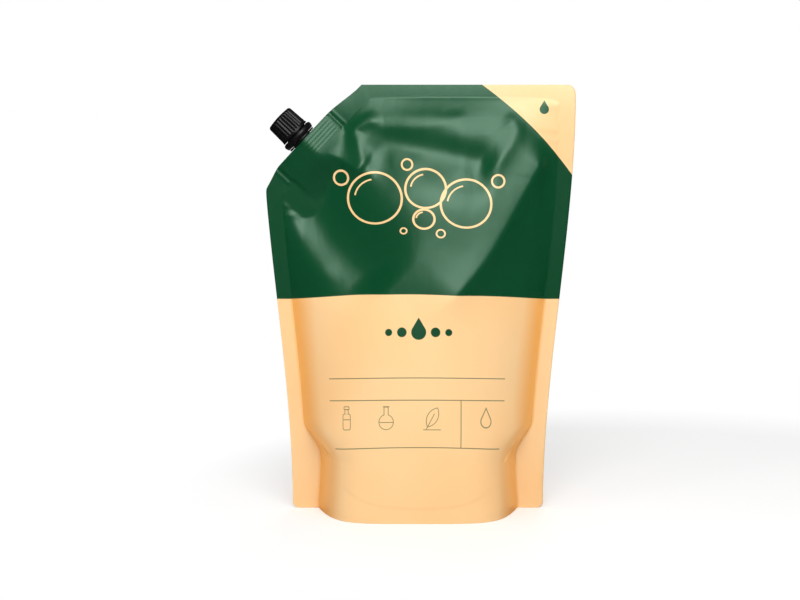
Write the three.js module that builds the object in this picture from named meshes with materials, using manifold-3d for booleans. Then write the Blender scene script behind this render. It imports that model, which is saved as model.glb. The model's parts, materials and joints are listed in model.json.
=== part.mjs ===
// A liquid soap refill pack: a stand-up film pouch, filled and sealed, with a moulded pour spout welded
// into its cut corner, a tamper band on the spout's neck and a fluted screw cap.
// Millimetres, +Z up, front towards -Y. The origin is the middle of the patch that the pack rests on.
import * as THREE from "three";
import { mergeVertices } from "three/addons/utils/BufferGeometryUtils.js";
import Module from "manifold-3d";

const wasm = await Module();
wasm.setup();

// The film pouch
const FLAT_WIDTH = 180; // across the empty pouch, side edge to side edge
const POUCH_HEIGHT = 246; // standing, foot to top edge
const HALF_DEPTH = 42; // how far each panel stands out from the seal plane at the foot
const SIDE_SEAL = 8.5; // width of the flat seals down both sides
const TOP_SEAL = 7;
const CORNER_SEAL = 11; // width of the seal along the cut corner, beside the spout
const SEAL_HALF = 0.3; // half the thickness of a sealed strip
const TOP_LEAN = 3.5; // how far the sealed top leans back
const LEAN_HEIGHT = 30; // over this height below the top edge
const TOP_CORNER_RADIUS = 5;
const FOOT_CORNER_RADIUS = 3.5;

// The cut corner that holds the spout
const CUT_FROM_CENTRE = 32.5; // where the cut leaves the top edge, left of the middle
const CUT_DROP = 59; // how far down the left edge the cut ends
const CUT_BOW = 3; // how far the cut edge stands out along the spout's boat
const CUT_ROUNDING = 1.6; // how softly the cut turns into the left edge
const CUT_SOFTNESS = 16; // how slowly the bulge rises behind the corner seal
const SPOUT_ALONG_CUT = 0.57; // the spout's place on the cut, as a share from its top end

// The bottom gusset
const GUSSET_HEIGHT = 50; // where the gusset's fold meets the side seals
const GUSSET_SEAL = 8; // height of the gusset's seal at the middle of each panel
const GUSSET_SAG = 12; // how far the filled gusset hangs below its seal
const SKIRT_WALL = 0.6; // the two sealed plies that stand on the floor
const EAR_WIDTH = 12.5; // flat ear at each end of the foot
const EAR_SHOULDER = 17; // the ear at its widest, below the end of the gusset's fold
const EAR_SHOULDER_HEIGHT = 32;
const EAR_HEIGHT = 52; // height at which the ear has narrowed to the side seal
const FOOT_TURN = 9; // how quickly the foot's edge turns from the ear to the front
const FOOT_HEIGHT = 75; // height at which the panels have their plain round section

// The welded boat of the spout
const BOAT_LENGTH = 36.5;
const BOAT_DEPTH = 10.5; // how far it reaches into the pouch
const BOAT_RECESS = 1.2; // how far its top lies inside the film's edge
const BOAT_WALL = 0.5; // plastic outside the bore's tube at the boat's middle
const BOAT_TIP = 0.8; // half its thickness at its blunt tips
const WELD_RIBS = 4;
const WELD_RIB_HEIGHT = 0.9;
const WELD_RIB_PROUD = 0.2;
const POCKET_GAP = 0.5; // room round the boat for the weld
const POCKET_FILM = 0.4; // film wrapped round the boat
const BOAT_FADE = 24; // length over which the film sinks back behind the boat

// The spout's neck
const BORE_RADIUS = 5;
const NECK_WALL = 1.1;
const NECK_LENGTH = 16.6; // from the film's edge to the pour lip
const FLANGE_RADIUS = 9.3;
const FLANGE_THICKNESS = 0.9;
const FLANGE_GAP = 0.3; // between the film's edge and the flange
const BEAD_PROUD = 1.1; // the bead that holds the tamper band down
const BEAD_HEIGHT = 1.2;
const EDGE_BREAK = 0.3; // the small bevels on moulded edges
const LIP_BEVEL = 0.5; // the pour lip's

// The tamper band
const BAND_RADIUS = 10.2;
const BAND_HEIGHT = 3.7;
const BAND_CHAMFER = 0.8;
const BAND_TAPER = 0.6; // how much the band narrows to its foot
const BAND_TAPER_HEIGHT = 1.6;
const BAND_GAP = 0.3; // above the flange
const BAND_LIP = 1.2; // height of the lip that hooks under the bead
const BAND_CLEARANCE = 0.3; // round the neck and its bead
const BRIDGES = 8;
const BRIDGE_HEIGHT = 0.25;
const BRIDGE_WIDTH = 0.9;
const BAND_SLOT = 0.5; // between the band and the cap

// The cap
const CAP_HEIGHT = 13.5;
const CAP_RADIUS = 8.9; // over the ribs at the foot of the grip
const CAP_DRAFT = 0.4; // how much narrower the grip is at its top
const CAP_RIM_HEIGHT = 1.1;
const CAP_RIM_PROUD = 0.2;
const CAP_WALL_TOP = 1.5; // thickness of the top
const CAP_EDGE_RADIUS = 1.6;
const CAP_DOME = 0.5;
const FLUTES = 24;
const FLUTE_DEPTH = 0.45;
const FLUTE_RUNOUT = 0.5; // height over which a flute reaches its full depth
const THREAD_ROOM = 0.95; // between the neck's wall and the cap's, where their threads run
const LIP_GAP = 0.3; // between the pour lip and the cap's inner face
const MOUTH_BEVEL = 0.4; // the lead-in at the cap's mouth

// Folds of the filled film, the same in both panels: a ridge, or a dent where its rise is negative, along a
// curve through the points (x and z in the seal plane), with its own width to the left and to the right of
// the way that the curve runs.
const FOLD_FADE = 12; // the folds die out over this distance from the seals
const FOLD_END = 0.2; // and over this share of their own length at both ends
const FOLDS = [
  { through: [[-35, 214], [-10, 214.5], [15, 213.5], [50, 209]], rise: -4.2, left: 11, right: 22 },
  { through: [[-30, 227], [-12, 229], [5, 229], [25, 230]], rise: 0.9, left: 4.5, right: 5 },
  { through: [[-33, 226], [-38, 220], [-35, 213], [-31.5, 204], [-32.5, 194]], rise: 2.4, left: 4, right: 3 },
  { through: [[-36, 221], [-26, 214.5], [-16, 208], [5, 197]], rise: 1.3, left: 6, right: 6 },
  { through: [[-60, 210.5], [-51, 206.5], [-42.5, 203], [-32, 196]], rise: 3.2, left: 7, right: 5 },
  { through: [[-72, 190], [-58.5, 175], [-49.5, 162], [-26, 137]], rise: -4.5, left: 24, right: 14 },
  { through: [[-78, 184], [-61, 156], [-52, 144], [-40, 131]], rise: 1.2, left: 9, right: 9 },
  { through: [[77, 209], [63, 190], [33, 141], [20, 128]], rise: 5.5, left: 10, right: 17, sharp: 1.3 },
  { through: [[49, 230], [55.5, 221], [49, 207], [33, 192]], rise: 1.3, left: 5, right: 7 },
];

const GREEN_FILM = 0x0b4f33;
const BLACK_PLASTIC = 0x17161a;

// Mesh and solid helpers

// A closed loop of points per section, the first half running one way along the front and the second half
// back again, so that each end closes as a ladder between the two halves.
function loft(sections) {
  const count = sections[0].length;
  const positions = sections.flat().flatMap((p) => [p.x, p.y, p.z]);
  const faces = [];
  const quad = (a, b, c, d) => faces.push(a, b, c, a, c, d);
  for (let row = 0; row + 1 < sections.length; row++) {
    for (let k = 0; k < count; k++) {
      const next = (k + 1) % count;
      quad(row * count + k, row * count + next, (row + 1) * count + next, (row + 1) * count + k);
    }
  }
  const last = (sections.length - 1) * count;
  for (let k = 0; k + 1 < count / 2; k++) {
    const across = count - 1 - k;
    quad(k, across, across - 1, k + 1);
    quad(last + k, last + k + 1, last + across - 1, last + across);
  }
  const geometry = new THREE.BufferGeometry();
  geometry.setAttribute("position", new THREE.Float32BufferAttribute(positions, 3));
  geometry.setIndex(faces);
  return geometry;
}

// A three.js geometry as a solid, its shared vertices merged and its faces turned outwards.
function solid(geometry) {
  const bare = geometry.clone();
  bare.deleteAttribute("normal");
  bare.deleteAttribute("uv");
  const merged = mergeVertices(bare, 1e-4);
  const index = merged.index.array;
  const faces = [];
  for (let i = 0; i < index.length; i += 3) {
    const [a, b, c] = [index[i], index[i + 1], index[i + 2]];
    if (a !== b && b !== c && a !== c) faces.push(a, b, c);
  }
  const vertProperties = merged.attributes.position.array;
  const manifold = (order) => {
    const triVerts = new Uint32Array(order);
    return new wasm.Manifold(new wasm.Mesh({ numProp: 3, vertProperties, triVerts }));
  };
  const made = manifold(faces);
  return made.volume() > 0 ? made : manifold(faces.reverse());
}

function mesh(name, made, material) {
  const { vertProperties, triVerts, numProp } = made.getMesh();
  const positions = new Float32Array((vertProperties.length / numProp) * 3);
  for (let i = 0; i < positions.length / 3; i++) {
    positions.set(vertProperties.subarray(i * numProp, i * numProp + 3), i * 3);
  }
  const geometry = new THREE.BufferGeometry();
  geometry.setAttribute("position", new THREE.BufferAttribute(positions, 3));
  geometry.setIndex(new THREE.BufferAttribute(triVerts, 1));
  geometry.computeVertexNormals();
  const object = new THREE.Mesh(geometry, material);
  object.name = name;
  return object;
}

// Revolves a profile of [radius, height] points about +Z.
function revolve(profile, segments) {
  const points = profile.map(([radius, height]) => new THREE.Vector2(radius, height));
  return new THREE.LatheGeometry(points, segments).rotateX(Math.PI / 2);
}

// The value between low and high at which a rising function reaches the target.
function solve(rising, target, low, high) {
  for (let step = 0; step < 40; step++) {
    const middle = (low + high) / 2;
    if (rising(middle) < target) low = middle;
    else high = middle;
  }
  return (low + high) / 2;
}

// Evenly spaced values from low to high, with both ends.
function spread(low, high, steps) {
  return Array.from({ length: steps + 1 }, (_, i) => low + ((high - low) * i) / steps);
}

const { clamp, smoothstep } = THREE.MathUtils;

// The pouch's outline, standing and filled

const bodyTop = POUCH_HEIGHT - TOP_SEAL;

// The film between the side seals, which keeps its length when the pouch is filled.
const bodyArc = FLAT_WIDTH - 2 * SIDE_SEAL;

// How far the middle of a panel stands out at a height.
const bulge = (z) => HALF_DEPTH * Math.max(0, 1 - (z / bodyTop) ** 2);

// Half the chord of the circular arc that a panel bends into, from its length and its rise.
function halfChord(rise) {
  if (rise < 0.05) return bodyArc / 2;
  const angle = solve((a) => (1 - Math.cos(a)) / (2 * a), rise / bodyArc, 1e-4, Math.PI / 2);
  return (bodyArc / (2 * angle)) * Math.sin(angle);
}

// Distance from the middle to the side edge, drawn in by the bulge and rounded at the corners.
function sideEdge(z) {
  const plain = halfChord(bulge(z)) + SIDE_SEAL;
  const overTop = z - (POUCH_HEIGHT - TOP_CORNER_RADIUS);
  const underFoot = FOOT_CORNER_RADIUS - z;
  const cut = (radius, past) => (past > 0 ? radius - Math.sqrt(Math.max(0, radius ** 2 - past ** 2)) : 0);
  return plain - cut(TOP_CORNER_RADIUS, overTop) - cut(FOOT_CORNER_RADIUS, underFoot);
}

const filmOverBoat = POCKET_GAP + POCKET_FILM;
const cutFoot = POUCH_HEIGHT - CUT_DROP;
const cutTopPoint = new THREE.Vector2(-CUT_FROM_CENTRE, POUCH_HEIGHT);
const cutFootPoint = new THREE.Vector2(-sideEdge(cutFoot), cutFoot);
const cutAngle = Math.atan2(cutTopPoint.y - cutFootPoint.y, cutTopPoint.x - cutFootPoint.x);
const cutOutwards = new THREE.Vector2(-Math.sin(cutAngle), Math.cos(cutAngle));

// A point on the cut edge, as a share of the way down from its top end.
// The edge is straight along the boat.
function onCut(share) {
  const length = cutTopPoint.distanceTo(cutFootPoint);
  const boatStart = SPOUT_ALONG_CUT - (BOAT_LENGTH / 2 + filmOverBoat) / length;
  const boatEnd = SPOUT_ALONG_CUT + (BOAT_LENGTH / 2 + filmOverBoat) / length;
  const rise = smoothstep(share, 0, boatStart) * (1 - smoothstep(share, boatEnd, 1));
  const point = cutTopPoint.clone().lerp(cutFootPoint, share);
  return point.addScaledVector(cutOutwards, CUT_BOW * rise);
}

// The cut edge at a height, carried on straight below its end.
function cutEdge(z) {
  if (z <= cutFoot) return cutFootPoint.x + (z - cutFoot) / Math.tan(cutAngle);
  return onCut(solve((share) => -onCut(share).y, -z, 0, 1)).x;
}

function leftEdge(z) {
  const [side, cut] = [-sideEdge(z), cutEdge(z)];
  return (side + cut + Math.hypot(side - cut, CUT_ROUNDING)) / 2;
}

// The spout's own frame: its origin lies on the cut edge, +Z points out along the pour axis and +X points
// up the cut.
const spoutOrigin = onCut(SPOUT_ALONG_CUT);
const spoutMatrix = new THREE.Matrix4()
  .makeRotationY(-cutAngle)
  .setPosition(spoutOrigin.x, 0, spoutOrigin.y);

// A point of the seal plane in the spout's frame: along the cut edge, and out of the pouch.
function inSpoutFrame(x, z) {
  const offset = new THREE.Vector2(x, z).sub(spoutOrigin);
  return [offset.x * Math.cos(cutAngle) + offset.y * Math.sin(cutAngle), offset.dot(cutOutwards)];
}

// Where the bulge starts, inside the side seal or, near the foot, inside the ear.
function sealWidth(z) {
  const ear = EAR_WIDTH + (EAR_SHOULDER - EAR_WIDTH) * smoothstep(z, 0, EAR_SHOULDER_HEIGHT);
  return SIDE_SEAL + (ear - SIDE_SEAL) * (1 - smoothstep(z, EAR_SHOULDER_HEIGHT, EAR_HEIGHT));
}
const innerEdge = (z) => halfChord(bulge(z)) + SIDE_SEAL - sealWidth(z);

// The film's surface, as a distance from the seal plane

const boatRadius = BORE_RADIUS + NECK_WALL + BOAT_WALL;

// The boat's outline, grown all round by a margin: a round crown over the bore, and straight slopes that
// leave it as tangents and end at blunt tips.
function boatOutline(margin) {
  const radius = boatRadius + margin;
  const reach = BOAT_LENGTH / 2 + margin;
  const tip = BOAT_TIP + margin;
  const slope = Math.asin(radius / Math.hypot(reach, tip)) - Math.atan2(tip, reach);
  const crown = radius * Math.sin(slope);
  const half = (along) => {
    const distance = Math.abs(along);
    if (distance > reach) return 0;
    if (distance < crown) return Math.sqrt(radius ** 2 - distance ** 2);
    return (radius - distance * Math.sin(slope)) / Math.cos(slope);
  };
  return { reach, crown, half };
}

const boatFilm = boatOutline(filmOverBoat);

const foldLines = FOLDS.map((fold) => {
  const curve = new THREE.CatmullRomCurve3(fold.through.map(([x, z]) => new THREE.Vector3(x, 0, z)));
  return { ...fold, points: curve.getSpacedPoints(24) };
});

function foldHeight({ points, rise, left, right, sharp = 2 }, x, z) {
  let nearest = { distance: Infinity };
  for (let i = 0; i + 1 < points.length; i++) {
    const [a, b] = [points[i], points[i + 1]];
    const [dx, dz] = [b.x - a.x, b.z - a.z];
    const t = clamp(((x - a.x) * dx + (z - a.z) * dz) / (dx ** 2 + dz ** 2), 0, 1);
    const distance = Math.hypot(x - a.x - t * dx, z - a.z - t * dz);
    if (distance >= nearest.distance) continue;
    nearest = { distance, side: dx * (z - a.z) - dz * (x - a.x), share: (i + t) / (points.length - 1) };
  }
  const width = nearest.side > 0 ? left : right;
  const fromEnd = Math.min(nearest.share, 1 - nearest.share);
  return rise * Math.exp(-((nearest.distance / width) ** sharp)) * smoothstep(fromEnd, -0.02, FOLD_END);
}

function filmSurface(x, z) {
  const half = innerEdge(z);
  const inside = half - Math.abs(x);
  const [along, out] = inSpoutFrame(x, z);
  let body = 0;
  if (inside > 0 && z < bodyTop) {
    const rise = bulge(z);
    const radius = (half ** 2 + rise ** 2) / (2 * rise);
    const arc = Math.sqrt(radius ** 2 - x ** 2) - (radius - rise);
    const foot = rise * (1 - Math.exp(-((inside / FOOT_TURN) ** 1.1)));
    const lifted = smoothstep(z, 0, FOOT_HEIGHT);
    const fromCut = -out - CORNER_SEAL;
    const corner = 1 - Math.exp(-Math.max(0, fromCut) / CUT_SOFTNESS);
    const faded = [inside, bodyTop - z, fromCut]
      .map((distance) => smoothstep(distance, 0, FOLD_FADE))
      .reduce((product, share) => product * share, 1);
    const folds = foldLines.reduce((sum, fold) => sum + foldHeight(fold, x, z), 0);
    body = (arc * lifted + foot * (1 - lifted)) * corner + folds * faded;
  }
  const behind = Math.max(0, -out - BOAT_DEPTH);
  const sinking = behind < BOAT_FADE ? 0.5 + 0.5 * Math.cos((Math.PI * behind) / BOAT_FADE) : 0;
  const boat = boatFilm.half(along) * sinking;
  const blended = Math.cbrt(Math.max(0, body) ** 3 + boat ** 3);
  return Math.max(SEAL_HALF, blended);
}

// How far the sealed top leans back from the seal plane. The film round the boat stays upright.
function lean(x, z) {
  const [along, out] = inSpoutFrame(x, z);
  const pastEnds = Math.max(0, Math.abs(along) - boatFilm.reach) / BOAT_DEPTH;
  const pastFoot = Math.max(0, -out - 2 * BOAT_DEPTH) / BOAT_DEPTH;
  const nearBoat = Math.exp(-(pastEnds ** 2) - pastFoot ** 2);
  return TOP_LEAN * Math.max(0, 1 - (POUCH_HEIGHT - z) / LEAN_HEIGHT) ** 2 * (1 - nearBoat);
}

// The pouch as one filled and sealed solid

const STRIP_STEPS = 3;
const PANEL_STEPS = 26;

// The columns of the panel's mesh: close together at the seals and wider apart in the middle.
function columns(z) {
  const left = leftEdge(z);
  const right = sideEdge(z);
  const leftInner = Math.max(-innerEdge(z), cutEdge(z) + CORNER_SEAL / Math.sin(cutAngle));
  const rightInner = innerEdge(z);
  const panel = spread(0, Math.PI, PANEL_STEPS).map((angle) => {
    const eased = 0.65 * (0.5 - 0.5 * Math.cos(angle)) + (0.35 * angle) / Math.PI;
    return leftInner + (rightInner - leftInner) * eased;
  });
  return [...spread(left, leftInner, STRIP_STEPS).slice(0, -1), ...panel, right];
}

const footRows = [
  0,
  FOOT_CORNER_RADIUS * 0.3,
  FOOT_CORNER_RADIUS,
  ...spread(GUSSET_SEAL, GUSSET_HEIGHT, 7),
];

function pouchRows() {
  const cornerFoot = POUCH_HEIGHT - TOP_CORNER_RADIUS;
  return [
    ...footRows,
    ...spread(GUSSET_HEIGHT, cutFoot, 14).slice(1),
    ...spread(cutFoot, bodyTop, 14).slice(1),
    cornerFoot,
    ...[0.5, 0.8, 0.95, 1].map((share) => cornerFoot + TOP_CORNER_RADIUS * share),
  ];
}

// A horizontal section through both panels, at some columns, moved inwards by a margin.
function panelSection(z, xs, height, margin) {
  const half = xs.map((x) => filmSurface(x, z) - margin);
  const front = xs.map((x, i) => new THREE.Vector3(x, lean(x, z) - half[i], height));
  const back = xs.map((x, i) => new THREE.Vector3(x, lean(x, z) + half[i], height)).reverse();
  return [...front, ...back];
}

// Height of the seal that joins the gusset to a panel: low in the middle and up to the fold at the sides.
const gussetEnd = innerEdge(GUSSET_HEIGHT);
const gussetSeal = (x) => GUSSET_SEAL + (GUSSET_HEIGHT - GUSSET_SEAL) * Math.abs(x / gussetEnd) ** 3.2;

// The hollow under the gusset: inside the skirt, and below the gusset's film, which sags onto the floor
// at the middle and arches up to its fold at both ends.
function gussetHollow() {
  const below = -5;
  const inner = (z) => columns(z).slice(STRIP_STEPS + 1, -2);
  const inSkirt = loft([
    panelSection(0, inner(0), below, SKIRT_WALL),
    ...footRows.map((z) => panelSection(z, inner(z), z, SKIRT_WALL)),
  ]);
  const underFilm = loft(spread(-gussetEnd, gussetEnd, 18).map((x) => {
    const top = gussetSeal(x);
    const sag = GUSSET_SAG * (1 - (x / gussetEnd) ** 2);
    const half = Math.max(SEAL_HALF, filmSurface(x, top) - SKIRT_WALL);
    const hung = [1, 5 / 7, 3 / 7, 1 / 7].map((share) => {
      return new THREE.Vector3(x, -half * share, top - sag * (1 - share ** 2));
    });
    const outer = -HALF_DEPTH * 1.2;
    const front = [new THREE.Vector3(x, outer, below * 2), new THREE.Vector3(x, outer, top), ...hung];
    const back = front.map((p) => new THREE.Vector3(p.x, -p.y, p.z)).reverse();
    return [...front, ...back];
  }));
  return solid(inSkirt).intersect(solid(underFilm));
}

// A plate with the boat's outline, between two heights on the pour axis.
function canoe(low, high, margin) {
  const { reach, crown, half } = boatOutline(margin);
  const edge = reach * (1 - 1e-6);
  const front = [-edge, ...spread(-crown, crown, 6), edge].map((along) => [along, half(along)]);
  const section = (z) => [
    ...front.map(([x, y]) => new THREE.Vector3(x, -y, z)),
    ...front.map(([x, y]) => new THREE.Vector3(x, y, z)).reverse(),
  ];
  return solid(loft([section(low), section(high)]));
}

function makePouch() {
  const filled = solid(loft(pouchRows().map((z) => panelSection(z, columns(z), z, 0))));
  const sleeve = canoe(-BOAT_DEPTH - filmOverBoat, 0, filmOverBoat).transform(spoutMatrix.elements);
  const pocket = canoe(-BOAT_DEPTH - POCKET_GAP, BOAT_DEPTH, POCKET_GAP).transform(spoutMatrix.elements);
  return filled.subtract(gussetHollow()).add(sleeve).subtract(pocket);
}

// The spout, in its own frame

const neckRadius = BORE_RADIUS + NECK_WALL;
const flangeTop = FLANGE_GAP + FLANGE_THICKNESS;
const bandFoot = flangeTop + BAND_GAP;
const bandTop = bandFoot + BAND_HEIGHT;
const capFoot = bandTop + BAND_SLOT;
const beadFoot = bandFoot + BAND_LIP + BAND_GAP;
const capInnerTop = NECK_LENGTH + LIP_GAP;
const capHeight = Math.max(CAP_HEIGHT, capInnerTop + CAP_WALL_TOP - capFoot);
const capInnerRadius = neckRadius + THREAD_ROOM;
const NECK_SEGMENTS = 32;
const BAND_SEGMENTS = 40;

function makeSpout() {
  const boat = canoe(-BOAT_DEPTH, -BOAT_RECESS, 0);
  const ribPitch = (BOAT_DEPTH - BOAT_RECESS) / WELD_RIBS;
  const ribs = spread(0, WELD_RIBS - 1, WELD_RIBS - 1).map((place) => {
    const middle = -BOAT_RECESS - ribPitch * (place + 0.5);
    return canoe(middle - WELD_RIB_HEIGHT / 2, middle + WELD_RIB_HEIGHT / 2, WELD_RIB_PROUD);
  });
  const beadTop = beadFoot + BEAD_HEIGHT;
  const neck = solid(revolve([
    [0, -BOAT_DEPTH / 2],
    [neckRadius, -BOAT_DEPTH / 2],
    [neckRadius, FLANGE_GAP],
    [FLANGE_RADIUS - EDGE_BREAK, FLANGE_GAP],
    [FLANGE_RADIUS, FLANGE_GAP + EDGE_BREAK],
    [FLANGE_RADIUS, flangeTop],
    [neckRadius, flangeTop],
    [neckRadius, beadFoot],
    [neckRadius + BEAD_PROUD, beadFoot],
    [neckRadius + BEAD_PROUD / 2, beadTop],
    [neckRadius, beadTop + EDGE_BREAK],
    [neckRadius, NECK_LENGTH - LIP_BEVEL],
    [neckRadius - LIP_BEVEL, NECK_LENGTH],
    [0, NECK_LENGTH],
  ], NECK_SEGMENTS));
  const throughBore = BOAT_DEPTH + NECK_LENGTH + 2;
  const bore = solid(new THREE.CylinderGeometry(BORE_RADIUS, BORE_RADIUS, throughBore, NECK_SEGMENTS)
    .rotateX(Math.PI / 2)
    .translate(0, 0, (NECK_LENGTH - BOAT_DEPTH) / 2));
  return [...ribs, neck].reduce((whole, piece) => whole.add(piece), boat).subtract(bore);
}

// The tamper band, hooked under the neck's bead and broken away from the cap along its bridges.
function makeTamperBand() {
  const lipRadius = neckRadius + BAND_CLEARANCE;
  const clearRadius = neckRadius + BEAD_PROUD + BAND_CLEARANCE;
  const lipTop = bandFoot + BAND_LIP;
  const ring = solid(revolve([
    [lipRadius, bandFoot],
    [BAND_RADIUS - BAND_TAPER, bandFoot],
    [BAND_RADIUS, bandFoot + BAND_TAPER_HEIGHT],
    [BAND_RADIUS, bandTop - BAND_CHAMFER],
    [BAND_RADIUS - BAND_CHAMFER, bandTop],
    [clearRadius, bandTop],
    [clearRadius, lipTop],
    [lipRadius, lipTop - EDGE_BREAK],
    [lipRadius, bandFoot],
  ], BAND_SEGMENTS));
  const bridgeRadius = (clearRadius + CAP_RADIUS) / 2;
  const bridges = spread(0, BRIDGES - 1, BRIDGES - 1).map((place) => {
    const bridge = new THREE.BoxGeometry(BRIDGE_WIDTH, BRIDGE_WIDTH, BRIDGE_HEIGHT * 2);
    bridge.translate(bridgeRadius, 0, bandTop).rotateZ((place * 2 * Math.PI) / BRIDGES);
    return solid(bridge);
  });
  return bridges.reduce((whole, piece) => whole.add(piece), ring);
}

// The cap: a drafted, domed shell with flutes pressed into its grip.
function makeCap() {
  const top = capFoot + capHeight;
  const gripFoot = capFoot + CAP_RIM_HEIGHT;
  const gripTop = top - CAP_DOME - CAP_EDGE_RADIUS;
  const topRadius = CAP_RADIUS - CAP_DRAFT;
  const edge = [25, 50, 75].map((degrees) => {
    const angle = THREE.MathUtils.degToRad(degrees);
    const inwards = CAP_EDGE_RADIUS * (1 - Math.cos(angle));
    return [topRadius - inwards, gripTop + CAP_EDGE_RADIUS * Math.sin(angle)];
  });
  const perFlute = [0, 0, 1, 1];
  const outside = revolve([
    [0, capFoot],
    [CAP_RADIUS + CAP_RIM_PROUD, capFoot],
    [CAP_RADIUS + CAP_RIM_PROUD, gripFoot - CAP_RIM_PROUD],
    [CAP_RADIUS, gripFoot],
    [CAP_RADIUS, gripFoot + FLUTE_RUNOUT],
    [topRadius, gripTop],
    ...edge,
    [topRadius - CAP_EDGE_RADIUS * 1.6, top - CAP_DOME * 0.3],
    [0, top],
  ], FLUTES * perFlute.length);
  const positions = outside.getAttribute("position");
  for (let i = 0; i < positions.count; i++) {
    const [x, y, z] = [positions.getX(i), positions.getY(i), positions.getZ(i)];
    if (z < gripFoot + FLUTE_RUNOUT / 2 || z > gripTop + EDGE_BREAK) continue;
    const turn = (Math.atan2(y, x) / (2 * Math.PI) + 1) * FLUTES * perFlute.length;
    const depth = FLUTE_DEPTH * perFlute[Math.round(turn) % perFlute.length];
    const radius = Math.hypot(x, y);
    positions.setXY(i, (x * (radius - depth)) / radius, (y * (radius - depth)) / radius);
  }
  const inside = solid(revolve([
    [0, capFoot - BAND_SLOT],
    [capInnerRadius + MOUTH_BEVEL, capFoot - BAND_SLOT],
    [capInnerRadius + MOUTH_BEVEL, capFoot + MOUTH_BEVEL],
    [capInnerRadius, capFoot + MOUTH_BEVEL * 2],
    [capInnerRadius, capInnerTop - LIP_BEVEL],
    [capInnerRadius - LIP_BEVEL, capInnerTop],
    [0, capInnerTop],
  ], NECK_SEGMENTS));
  return solid(outside).subtract(inside);
}

const filmMaterial = new THREE.MeshStandardMaterial({ color: GREEN_FILM, roughness: 0.5, metalness: 0 });
function plasticMaterial() {
  return new THREE.MeshStandardMaterial({ color: BLACK_PLASTIC, roughness: 0.35, metalness: 0 });
}

const pack = new THREE.Group();
pack.add(mesh("pouch", makePouch(), filmMaterial));

const closure = new THREE.Group();
closure.position.set(spoutOrigin.x, 0, spoutOrigin.y);
closure.rotation.y = -cutAngle;
closure.add(mesh("spout", makeSpout(), plasticMaterial()));
closure.add(mesh("tamper_band", makeTamperBand(), plasticMaterial()));
closure.add(mesh("screw_cap", makeCap(), plasticMaterial()));
pack.add(closure);

export default pack;
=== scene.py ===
"""A filled and sealed stand-up refill pouch of liquid soap, with a spout, a tamper band and a screw cap.

The film is built here as one closed surface from the same rules as the solid pouch: panels that keep their
length as they bulge, flat seals, and a sagging gusset. All lengths are in millimetres until a mesh is made.
"""
import json
import math

import bmesh
import bpy
import numpy as np
from mathutils import Matrix, Vector


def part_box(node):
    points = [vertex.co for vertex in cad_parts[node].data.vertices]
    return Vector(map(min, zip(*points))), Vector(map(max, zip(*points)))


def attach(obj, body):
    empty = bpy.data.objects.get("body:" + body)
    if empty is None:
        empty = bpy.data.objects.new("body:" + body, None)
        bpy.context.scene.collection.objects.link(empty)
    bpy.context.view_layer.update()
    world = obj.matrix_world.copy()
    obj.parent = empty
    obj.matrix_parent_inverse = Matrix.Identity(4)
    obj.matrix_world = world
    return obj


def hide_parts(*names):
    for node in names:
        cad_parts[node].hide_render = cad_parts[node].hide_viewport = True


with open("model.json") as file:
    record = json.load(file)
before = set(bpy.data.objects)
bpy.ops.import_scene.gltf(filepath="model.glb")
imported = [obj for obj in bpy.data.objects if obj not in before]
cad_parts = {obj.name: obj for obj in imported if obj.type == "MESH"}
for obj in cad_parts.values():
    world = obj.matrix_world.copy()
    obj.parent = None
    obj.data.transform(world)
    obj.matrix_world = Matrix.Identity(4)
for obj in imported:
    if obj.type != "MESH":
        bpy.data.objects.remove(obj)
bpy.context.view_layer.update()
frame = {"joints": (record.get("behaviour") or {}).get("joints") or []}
MM = 0.001

# The pouch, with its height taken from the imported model
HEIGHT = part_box("pouch")[1][2] / MM
HALF_DEPTH = 42
FLAT_WIDTH = 180
SIDE_SEAL = 8.5
TOP_SEAL = 7
CORNER_SEAL = 11
SEAL_HALF = 0.2
FILM_WALL = 0.4
TOP_CORNER_RADIUS = 5
FOOT_CORNER_RADIUS = 3.5

# The cut corner
CUT_FROM_CENTRE = 32.5
CUT_DROP = 59
CUT_BOW = 3
CUT_ROUNDING = 1.6
CUT_SOFTNESS = 16
SPOUT_ALONG_CUT = 0.57

# The gusset
GUSSET_HEIGHT = 50
GUSSET_SEAL = 8
GUSSET_SAG = 12
EAR_WIDTH = 15
EAR_SHOULDER = 17
EAR_SHOULDER_HEIGHT = 32
EAR_HEIGHT = 52
FOOT_HEIGHT = 75
FOOT_TURN = 9

# The boat of the spout, and the film wrapped round it
BOAT_HALF = 6.6
BOAT_LENGTH = 36.5
BOAT_DEPTH = 10.5
BOAT_TIP = 0.8
FILM_OVER_BOAT = 0.9
BOAT_ROUNDING = 2.6
BOAT_FADE = 24

# Fine relief: seal steps, weld marks and puckers, and the lean of the sealed top
SEAL_STEP = 0.35
SEAL_STEP_WIDTH = 1.2
GUSSET_STEP = 0.45
GUSSET_STEP_WIDTH = 1.6
GUSSET_STEP_SIDES = (5, 20)
WELD_RIBS = 5
WELD_RIB_HEIGHT = 0.04
WELD_RIB_START = (0.6, 1.2)
WELD_RIB_PAST_FOOT = 0.5
WELD_RIB_END = 0.6
WELD_RIB_SIDE = 1.5
END_LINES = ((1.3, 0.6), (4.4, 0.4))
END_LINE_WIDTH = 0.7
END_LINE_LENGTH = 13.0
END_LINE_START = (0.2, 1.2)
END_LINE_RUNOUT = 3
PUCKER_PITCH = 9.0
PUCKER_HEIGHT = 0.28
PUCKER_REACH = 7.0
PUCKER_START = 1.5
PUCKER_BEND = 1.7
PUCKER_BEAT = 0.37
PUCKER_SLANT = 0.12
PUCKER_PATCH = 17.0
PUCKER_PATCH_SHIFT = 1.3
PUCKER_HEIGHTS = (40, 70)
TOP_LEAN = 3.0
LEAN_HEIGHT = 30

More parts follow.
